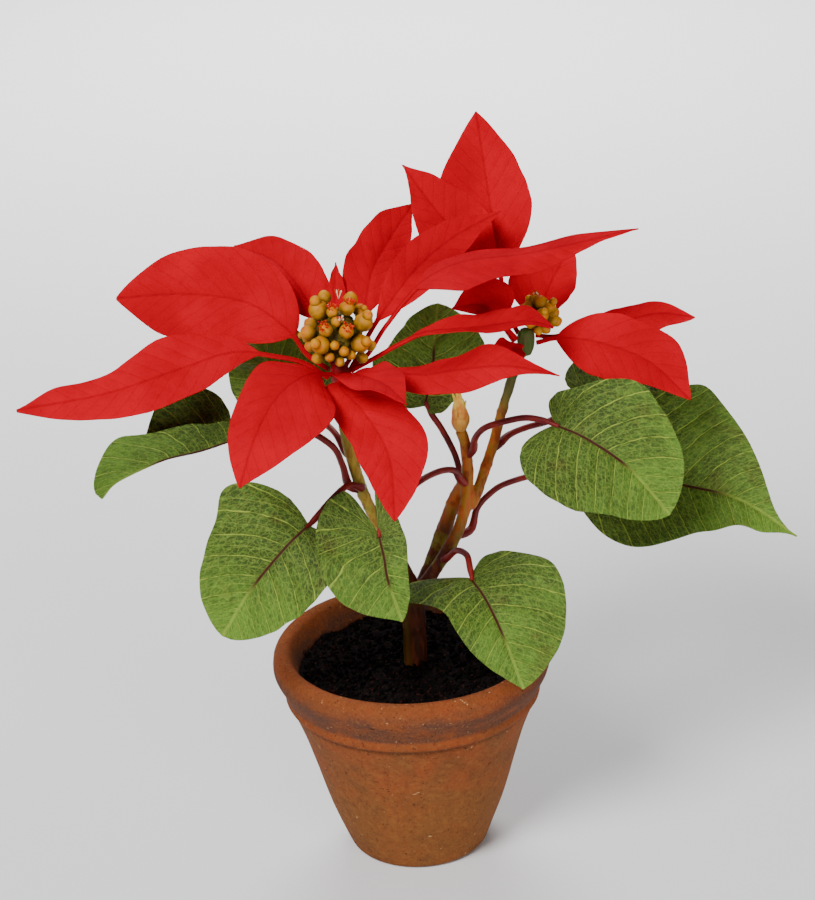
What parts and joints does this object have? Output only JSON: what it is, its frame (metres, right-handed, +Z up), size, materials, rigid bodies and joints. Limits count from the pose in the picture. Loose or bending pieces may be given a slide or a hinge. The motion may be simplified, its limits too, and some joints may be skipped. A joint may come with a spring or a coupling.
{
  "type": "potted poinsettia",
  "caption": "Red poinsettia with broad green leaves and long red bracts round yellow cyathia, growing in a tapered terracotta pot.",
  "frame": {"origin": "centre of the flat foot of the pot, on the surface that it stands on", "axes": "+Z up, -Y towards the front of the plant, +X to the right as seen from the front"},
  "size_m": [0.3254, 0.1584, 0.3272],
  "materials": {
    "terracotta": "matt fired clay with a grey patina on the rim",
    "soil": "dark crumbly peat and bark potting soil",
    "bark": "brown bark that turns olive green higher up",
    "bud": "pale papery bud scales",
    "bract": "velvety red bract, a little darker below",
    "leaf": "matt green leaf with pale veins",
    "petiole": "smooth dark red leaf stalk",
    "cyathia": "yellow to olive cyathia with small red tips"
  },
  "bodies": {
    "root": {"bract_left_back": "bract", "bract_left_diagonal": "bract", "bract_left_far": "bract", "bract_left_folded": "bract", "bract_left_front_low": "bract", "bract_left_front_short": "bract", "bract_left_front_wide": "bract", "bract_left_level": "bract", "bract_left_long": "bract", "bract_left_small": "bract", "bract_left_upper": "bract", "bract_left_upright": "bract", "bract_right_back": "bract", "bract_right_far": "bract", "bract_right_low": "bract", "bract_right_short": "bract", "bract_right_top": "bract", "bract_right_under": "bract", "bract_right_upper": "bract", "cyathia_left": "cyathia", "cyathia_right": "cyathia", "leaf_far_left": "leaf", "leaf_far_right": "leaf", "leaf_left_back": "leaf", "leaf_low_left": "leaf", "leaf_low_middle": "leaf", "leaf_low_right": "leaf", "leaf_middle_back": "leaf", "leaf_right": "leaf", "leaf_right_back": "leaf", "petiole_far_left": "petiole", "petiole_far_right": "petiole", "petiole_left_back": "petiole", "petiole_low_left": "petiole", "petiole_low_middle": "petiole", "petiole_low_right": "petiole", "petiole_middle_back": "petiole", "petiole_right": "petiole", "petiole_right_back": "petiole", "potting_soil": "soil", "stem_and_branches": "bark", "stem_bud": "bud", "terracotta_pot": "terracotta"}
  },
  "joints": []
}
